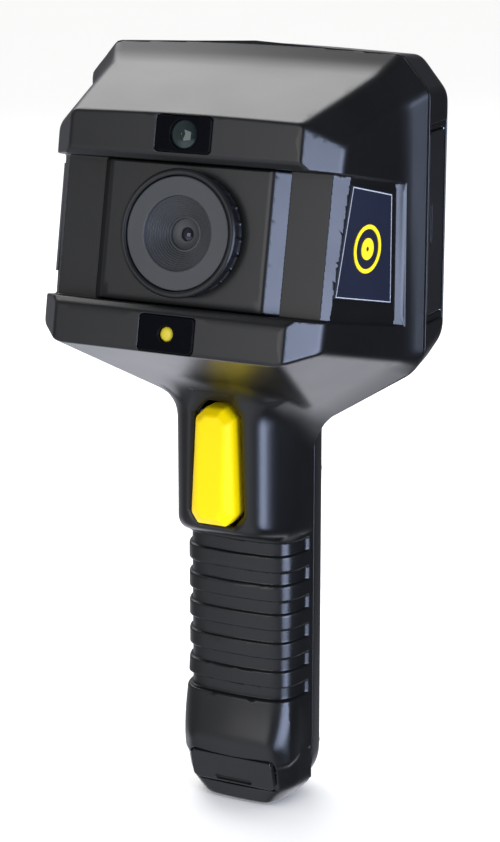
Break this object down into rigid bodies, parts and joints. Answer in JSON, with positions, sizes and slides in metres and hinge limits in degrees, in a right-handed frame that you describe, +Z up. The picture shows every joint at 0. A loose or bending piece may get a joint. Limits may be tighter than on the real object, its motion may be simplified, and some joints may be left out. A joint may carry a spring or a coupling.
{
  "type": "thermal imaging camera",
  "caption": "Handheld pistol-grip thermal imaging camera with a focus-ring infrared lens, daylight camera and lamp windows, trigger, rear display with keys and a ribbed handle.",
  "frame": {"origin": "mouth of the tripod socket, in the middle of the foot's sole", "axes": "+Z up along the handle, -Y the way the lens looks (it also looks 11.67 degrees up), +X on the right of someone who faces the lens"},
  "size_m": [0.1292, 0.0906, 0.275],
  "materials": {
    "shell": "moulded, fine satin texture",
    "seal_rubber": "moulded",
    "black_anodised": "turned and black anodised",
    "infrared_glass": "polished, coated",
    "clear_glass": "polished, coated",
    "window_black": "polished black",
    "lamp_yellow": "moulded phosphor",
    "label_print": "printed film",
    "emblem_yellow": "printed ink",
    "trigger_yellow": "moulded, satin gloss",
    "key_rubber": "moulded",
    "flap_plastic": "moulded",
    "display_glass": "polished, black border",
    "display_stack": "laminated",
    "circuit_board": "solder mask",
    "chip_black": "moulded",
    "bracket_aluminium": "pressed",
    "steel": "plated",
    "brass": "turned",
    "battery_wrap": "shrink wrap",
    "lead_sheath": "extruded"
  },
  "bodies": {
    "housing": {"front_housing": "shell", "rear_housing": "shell", "lens_panel": "shell", "housing_seal": "seal_rubber", "lens_barrel": "black_anodised", "sensor_bracket": "bracket_aluminium", "board_posts": "brass", "board_screws": "steel", "barrel_screws": "steel", "detector_board": "circuit_board", "detector_module": "chip_black", "shutter_motor": "steel", "camera_window": "window_black", "camera_lens": "clear_glass", "camera_module": "chip_black", "lamp_window": "window_black", "lamp_led": "lamp_yellow", "lamp_board": "circuit_board", "label_right": "label_print", "label_left": "label_print", "emblem_right": "emblem_yellow", "emblem_left": "emblem_yellow", "trigger_pin": "steel", "trigger_switch": "chip_black", "switch_bracket": "bracket_aluminium", "trigger_spring": "steel", "display_glass": "display_glass", "display_panel": "display_stack", "display_frame": "bracket_aluminium", "keypad_board": "circuit_board", "keypad_mat": "key_rubber", "main_board": "circuit_board", "main_board_chips": "chip_black", "battery_pack": "battery_wrap", "battery_contacts": "circuit_board", "battery_lead": "lead_sheath", "port_plate": "chip_black", "usb_socket": "steel", "card_slot": "steel", "base_flap_pin": "steel", "side_flap_pin": "steel", "side_socket": "steel", "tripod_insert": "brass", "housing_screws": "steel"},
    "focus_ring": {"focus_ring": "black_anodised"},
    "lens_cell": {"lens_nose": "black_anodised", "front_lens": "infrared_glass", "rear_lens": "infrared_glass"},
    "trigger": {"trigger": "trigger_yellow"},
    "base_flap": {"base_flap": "flap_plastic"},
    "side_flap": {"side_flap": "flap_plastic"},
    "shutter": {"shutter_blade": "steel"},
    "key_ok": {"key_ok": "key_rubber"},
    "key_up": {"key_up": "key_rubber"},
    "key_down": {"key_down": "key_rubber"},
    "key_left": {"key_left": "key_rubber"},
    "key_right": {"key_right": "key_rubber"},
    "key_back": {"key_back": "key_rubber"},
    "key_power": {"key_power": "key_rubber"}
  },
  "joints": [
    {"name": "focus_turn", "type": "hinge", "parent": "housing", "child": "focus_ring", "pos_m": [0, -0.0544, 0.2175], "axis": [0, -0.9793, 0.2023], "range_deg": [-60, 60]},
    {"name": "lens_slide", "type": "slide", "parent": "housing", "child": "lens_cell", "axis": [0, -0.9793, 0.2023], "range_m": [-0.00075, 0.00075]},
    {"name": "trigger_pull", "type": "hinge", "parent": "housing", "child": "trigger", "pos_m": [0, -0.02, 0.149], "axis": [1, 0, 0], "range_deg": [0, 5], "stiffness_Nm_per_rad": 0.5, "springref_deg": -5.73, "deforming": ["trigger_spring"]},
    {"name": "base_flap_open", "type": "hinge", "parent": "housing", "child": "base_flap", "pos_m": [0, -0.01497, 0.01869], "axis": [-1, 0, 0], "range_deg": [0, 95]},
    {"name": "side_flap_open", "type": "hinge", "parent": "housing", "child": "side_flap", "pos_m": [0.0633, 0.0192, 0.2155], "axis": [0, 0, 1], "range_deg": [0, 95]},
    {"name": "shutter_close", "type": "hinge", "parent": "housing", "child": "shutter", "pos_m": [0.0202, -0.03129, 0.21273], "axis": [0, -0.9793, 0.2023], "range_deg": [0, 55]},
    {"name": "key_ok_press", "type": "slide", "parent": "housing", "child": "key_ok", "axis": [0, -1, 0], "range_m": [0, 0.0008], "stiffness_N_per_m": 1200, "springref_m": -0.0004},
    {"name": "key_up_press", "type": "slide", "parent": "housing", "child": "key_up", "axis": [0, -1, 0], "range_m": [0, 0.0008], "stiffness_N_per_m": 1200, "springref_m": -0.0004},
    {"name": "key_down_press", "type": "slide", "parent": "housing", "child": "key_down", "axis": [0, -1, 0], "range_m": [0, 0.0008], "stiffness_N_per_m": 1200, "springref_m": -0.0004},
    {"name": "key_left_press", "type": "slide", "parent": "housing", "child": "key_left", "axis": [0, -1, 0], "range_m": [0, 0.0008], "stiffness_N_per_m": 1200, "springref_m": -0.0004},
    {"name": "key_right_press", "type": "slide", "parent": "housing", "child": "key_right", "axis": [0, -1, 0], "range_m": [0, 0.0008], "stiffness_N_per_m": 1200, "springref_m": -0.0004},
    {"name": "key_back_press", "type": "slide", "parent": "housing", "child": "key_back", "axis": [0, -1, 0], "range_m": [0, 0.0008], "stiffness_N_per_m": 1200, "springref_m": -0.0004},
    {"name": "key_power_press", "type": "slide", "parent": "housing", "child": "key_power", "axis": [0, -1, 0], "range_m": [0, 0.0008], "stiffness_N_per_m": 1200, "springref_m": -0.0004}
  ],
  "couplings": [
    {"joint": "focus_turn", "follows": "lens_slide", "rad_per_m": 1396}
  ]
}
